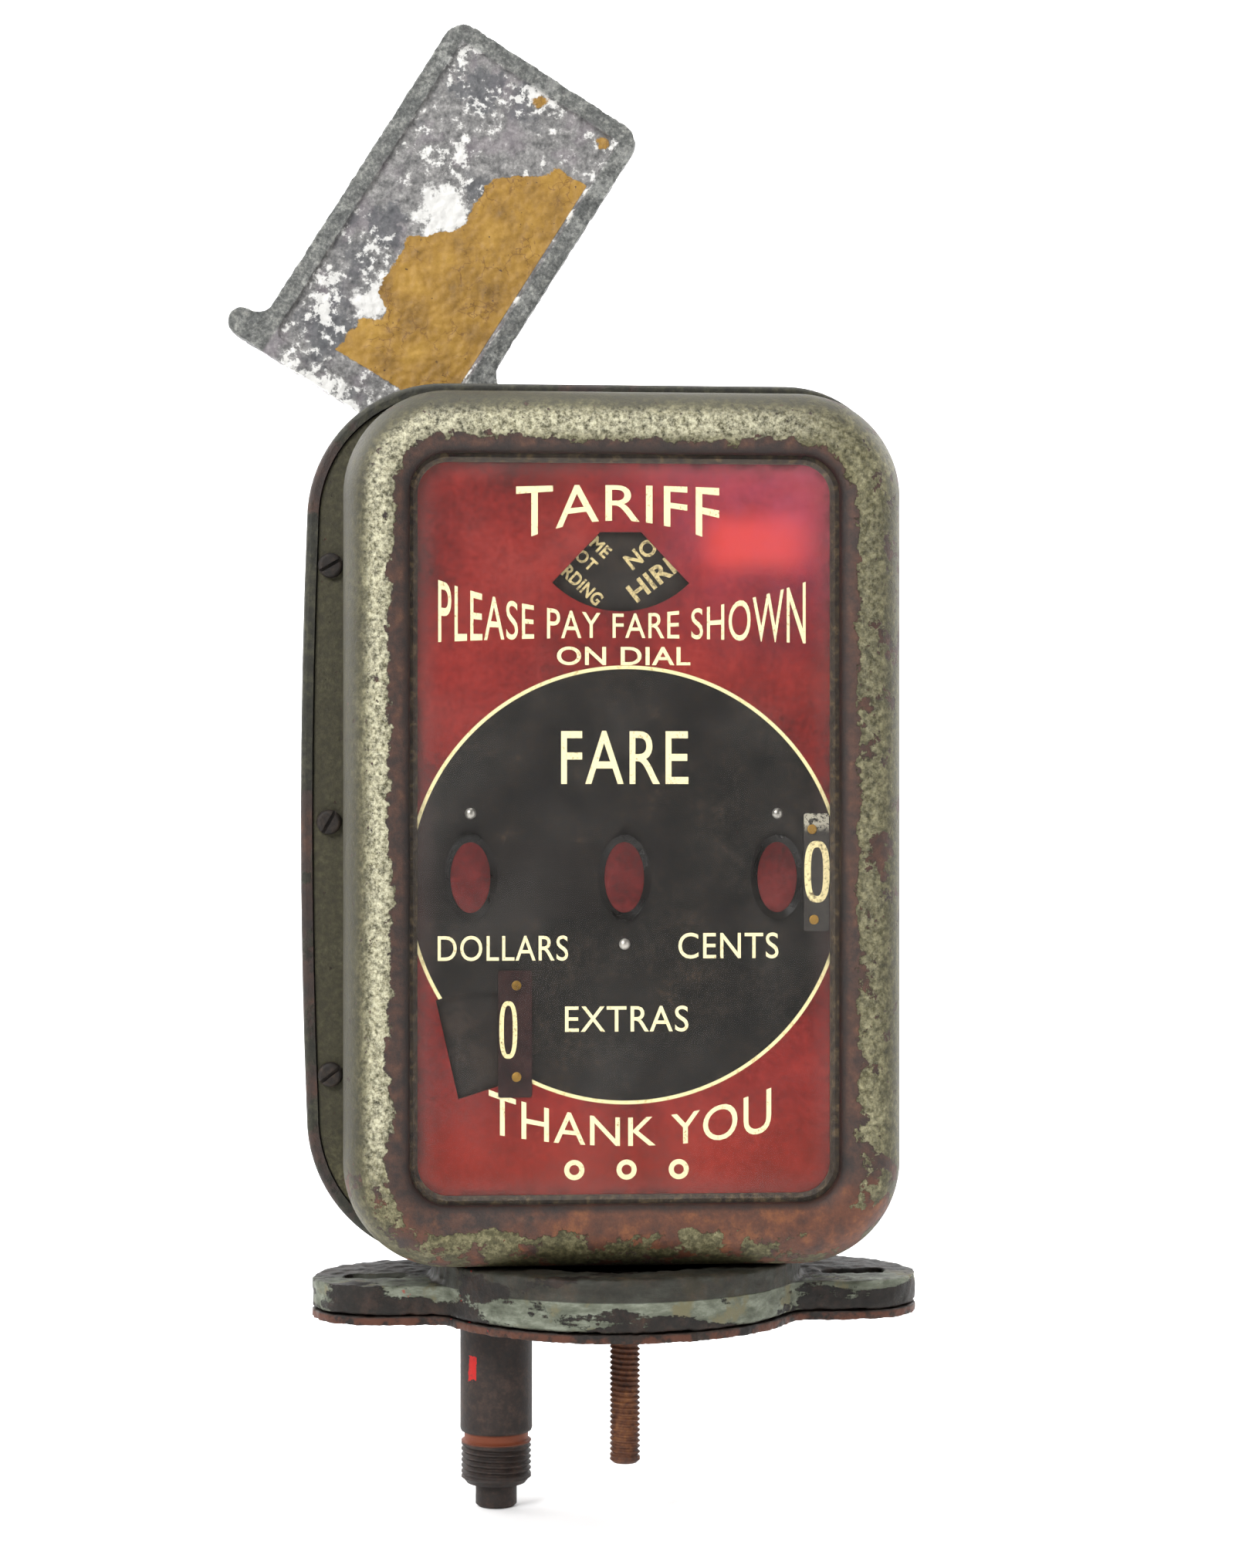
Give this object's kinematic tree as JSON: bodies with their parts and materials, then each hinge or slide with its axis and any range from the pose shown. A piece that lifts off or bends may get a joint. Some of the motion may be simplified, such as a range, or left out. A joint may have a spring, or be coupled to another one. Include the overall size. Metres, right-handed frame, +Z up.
{
  "type": "taxi meter",
  "caption": "Mechanical taxi meter: bullnose case with glazed red and black fare dial, swinging flag on a rear arm, and a mounting foot with cable coupling.",
  "frame": {"origin": "centre of the mounting foot's underside", "axes": "+Z up through the case, -Y out of the dial towards the passenger, +X to the right as seen from the front"},
  "size_m": [0.1876, 0.1195, 0.4104],
  "materials": {
    "foot_paint": "worn grey-green paint over rust",
    "case_paint": "worn olive paint",
    "rusty_steel": "rusted",
    "dark_steel": "oiled, dark",
    "bright_steel": "turned",
    "brass": "aged",
    "glass": "clear",
    "frame_black": "black japan",
    "dial_red": "printed enamel",
    "label_black": "printed enamel",
    "shutter_red": "enamel",
    "drum_black": "black with cream figures",
    "flag_metal": "cast, weathered, part painted ochre"
  },
  "bodies": {
    "case": {"base_casting": "foot_paint", "base_plate": "foot_paint", "rear_case": "case_paint", "front_casing": "case_paint", "mounting_stud": "rusty_steel", "cable_coupling": "dark_steel", "spindle_bush": "dark_steel", "stud_nut": "dark_steel", "base_screws": "dark_steel", "case_screws": "dark_steel", "back_screws": "dark_steel", "detent_spring": "dark_steel", "click_springs": "dark_steel", "drum_shaft": "bright_steel", "dial_rivets": "bright_steel", "pillar_screws": "bright_steel", "drum_brackets": "bright_steel", "spindle_bracket": "bright_steel", "rear_spacers": "bright_steel", "shutter_rails": "bright_steel", "dial_posts": "bright_steel", "front_movement_plate": "brass", "rear_movement_plate": "brass", "movement_pillars": "brass", "flag_bush": "brass", "extras_bush": "brass", "balance_cock": "brass", "label_screws": "brass", "front_glass": "glass", "glass_frame": "frame_black", "dial_plate": "dial_red", "cents_zero_plate": "label_black", "extras_zero_plate": "label_black"},
    "drive": {"drive_spindle": "bright_steel", "worm": "bright_steel"},
    "distance": {"worm_wheel": "brass", "distance_arbor": "bright_steel", "feed_cam": "dark_steel"},
    "dollars": {"dollars_drum": "drum_black"},
    "dimes": {"dimes_drum": "drum_black"},
    "cents": {"cents_drum": "drum_black"},
    "shutter": {"fare_shutter": "shutter_red"},
    "flag_arm": {"flag_shaft": "bright_steel", "flag_gear": "brass", "detent_cam": "dark_steel", "flag": "flag_metal", "flag_nut": "dark_steel"},
    "tariff": {"tariff_disc": "label_black", "tariff_gear": "brass", "tariff_arbor": "bright_steel"},
    "extras": {"extras_disc": "label_black", "extras_shaft": "bright_steel", "extras_knob": "brass"},
    "barrel": {"spring_barrel": "brass", "mainspring": "dark_steel"},
    "winding": {"winding_arbor": "bright_steel"},
    "escapement": {"escape_wheel": "brass", "escape_pinion": "bright_steel"},
    "pallet": {"pallet_lever": "bright_steel"},
    "balance": {"balance_wheel": "brass"}
  },
  "joints": [
    {"name": "drive_spin", "type": "hinge", "parent": "case", "child": "drive", "pos_m": [-0.032, 0, 0], "axis": [0, 0, 1], "continuous": true},
    {"name": "distance_spin", "type": "hinge", "parent": "case", "child": "distance", "pos_m": [-0.052, 0, 0.052], "axis": [0, 1, 0], "continuous": true},
    {"name": "dollars_spin", "type": "hinge", "parent": "case", "child": "dollars", "pos_m": [-0.0397, -0.0086, 0.1173], "axis": [1, 0, 0], "continuous": true},
    {"name": "dimes_spin", "type": "hinge", "parent": "case", "child": "dimes", "pos_m": [0, -0.0086, 0.1173], "axis": [1, 0, 0], "continuous": true},
    {"name": "cents_spin", "type": "hinge", "parent": "case", "child": "cents", "pos_m": [0.0397, -0.0086, 0.1173], "axis": [1, 0, 0], "continuous": true},
    {"name": "shutter_slide", "type": "slide", "parent": "case", "child": "shutter", "axis": [-1, 0, 0], "range_m": [0, 0.02]},
    {"name": "flag_turn", "type": "hinge", "parent": "case", "child": "flag_arm", "pos_m": [0.022, 0, 0.211], "axis": [0, 1, 0], "continuous": true},
    {"name": "tariff_turn", "type": "hinge", "parent": "case", "child": "tariff", "pos_m": [-0.001, 0, 0.211], "axis": [0, 1, 0], "continuous": true},
    {"name": "extras_turn", "type": "hinge", "parent": "case", "child": "extras", "pos_m": [-0.008, 0, 0.066], "axis": [0, 1, 0], "continuous": true},
    {"name": "barrel_turn", "type": "hinge", "parent": "case", "child": "barrel", "pos_m": [-0.024, 0, 0.167], "axis": [0, 1, 0], "continuous": true},
    {"name": "winding_turn", "type": "hinge", "parent": "case", "child": "winding", "pos_m": [-0.024, 0, 0.167], "axis": [0, 1, 0], "continuous": true},
    {"name": "escapement_turn", "type": "hinge", "parent": "case", "child": "escapement", "pos_m": [0.001, 0, 0.167], "axis": [0, 1, 0], "continuous": true},
    {"name": "pallet_rock", "type": "hinge", "parent": "case", "child": "pallet", "pos_m": [0.018, 0, 0.1595], "axis": [0, 1, 0], "range_deg": [-4, 4]},
    {"name": "balance_swing", "type": "hinge", "parent": "case", "child": "balance", "pos_m": [0.034, 0, 0.158], "axis": [0, 1, 0], "range_deg": [-135, 135], "stiffness_Nm_per_rad": 0.00002}
  ],
  "couplings": [
    {"joint": "distance_spin", "follows": "drive_spin", "ratio": 0.033333},
    {"joint": "tariff_turn", "follows": "flag_turn", "ratio": -1},
    {"joint": "escapement_turn", "follows": "barrel_turn", "ratio": -4}
  ]
}
